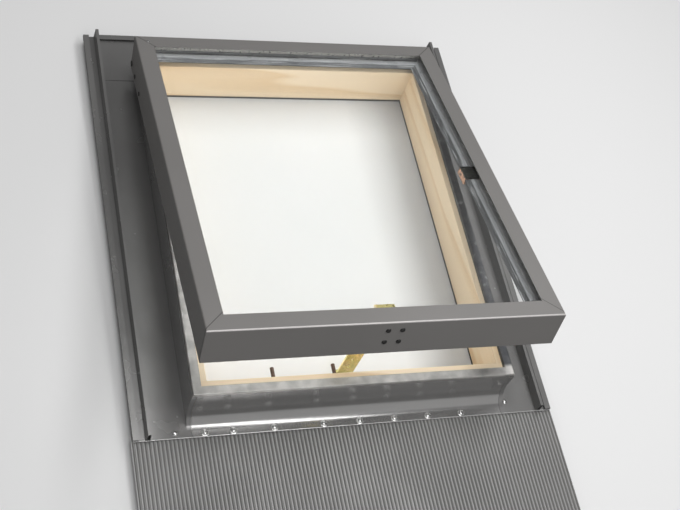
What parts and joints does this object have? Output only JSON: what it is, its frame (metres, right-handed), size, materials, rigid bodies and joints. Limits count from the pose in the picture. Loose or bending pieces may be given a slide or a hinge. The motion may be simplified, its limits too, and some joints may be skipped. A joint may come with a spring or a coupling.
{
  "type": "roof skylight",
  "caption": "Small top-hung roof window standing ajar: grey metal sash with double glazing, pine frame, folded flashing with a hollow apron and a pleated skirt, and a hanging stay bar.",
  "frame": {"origin": "middle of the wooden frame, on its underside, which is also the middle of the four fixing holes", "axes": "+Z out of the roof, +Y up the slope, X across the roof"},
  "size_m": [0.5688, 0.815, 0.2143],
  "materials": {
    "pine": "clear varnished",
    "sash_metal": "satin",
    "flashing_metal": "satin",
    "skirt_metal": "satin",
    "seal_foil": "semi-gloss",
    "black_rubber": "matt",
    "clear_glass": "clear",
    "spacer_metal": "mill",
    "bronze_clip": "dull bronze",
    "brown_peg": "matt",
    "yellow_zinc": "yellow passivated",
    "bright_rivet": "bright",
    "dark_rivet": "satin",
    "zinc_steel": "galvanised"
  },
  "bodies": {
    "frame": {"frame_jamb_left": "pine", "frame_jamb_right": "pine", "frame_sill": "pine", "frame_head": "pine", "lining_seal": "black_rubber", "sill_pegs": "brown_peg", "gutter_left": "flashing_metal", "gutter_right": "flashing_metal", "head_flashing": "flashing_metal", "apron": "flashing_metal", "pleated_skirt": "skirt_metal", "apron_rivets": "bright_rivet", "seam_rivets": "bright_rivet", "frame_seal": "seal_foil", "fixing_angle_left_low": "zinc_steel", "fixing_angle_left_high": "zinc_steel", "fixing_angle_right_low": "zinc_steel", "fixing_angle_right_high": "zinc_steel", "hinge_frame_leaf_left": "zinc_steel", "hinge_frame_leaf_right": "zinc_steel", "hinge_pin_left": "dark_rivet", "hinge_pin_right": "dark_rivet", "hinge_screws": "zinc_steel"},
    "sash": {"sash_stile_left": "sash_metal", "sash_stile_right": "sash_metal", "sash_head_rail": "sash_metal", "sash_foot_rail": "sash_metal", "flange_rivet": "bright_rivet", "corner_angles": "zinc_steel", "glazing_tape": "black_rubber", "outer_glass": "clear_glass", "inner_glass": "clear_glass", "edge_sealant": "black_rubber", "glass_spacer": "spacer_metal", "setting_blocks": "black_rubber", "sash_gasket": "black_rubber", "hinge_sash_leaf_left": "zinc_steel", "hinge_sash_leaf_right": "zinc_steel", "hinge_rivets": "dark_rivet", "stile_clip": "bronze_clip", "clip_screw": "bright_rivet", "stay_bracket": "yellow_zinc", "stay_rivets": "dark_rivet", "stay_eye_pin": "zinc_steel"},
    "stay_swivel": {"stay_lug": "yellow_zinc", "stay_pivot": "zinc_steel"},
    "stay": {"stay_bar": "yellow_zinc"}
  },
  "joints": [
    {"name": "sash_hinge", "type": "hinge", "parent": "frame", "child": "sash", "pos_m": [0, 0.2664, 0.0495], "axis": [-1, 0, 0], "range_deg": [-13, 67]},
    {"name": "stay_tilt", "type": "hinge", "parent": "sash", "child": "stay_swivel", "pos_m": [0.003, -0.21823, 0.18191], "axis": [1, 0, 0], "range_deg": [-8, 67]},
    {"name": "stay_swing", "type": "hinge", "parent": "stay_swivel", "child": "stay", "pos_m": [0.003, -0.21823, 0.15991], "axis": [0, 1, 0], "range_deg": [-90, 90]}
  ]
}
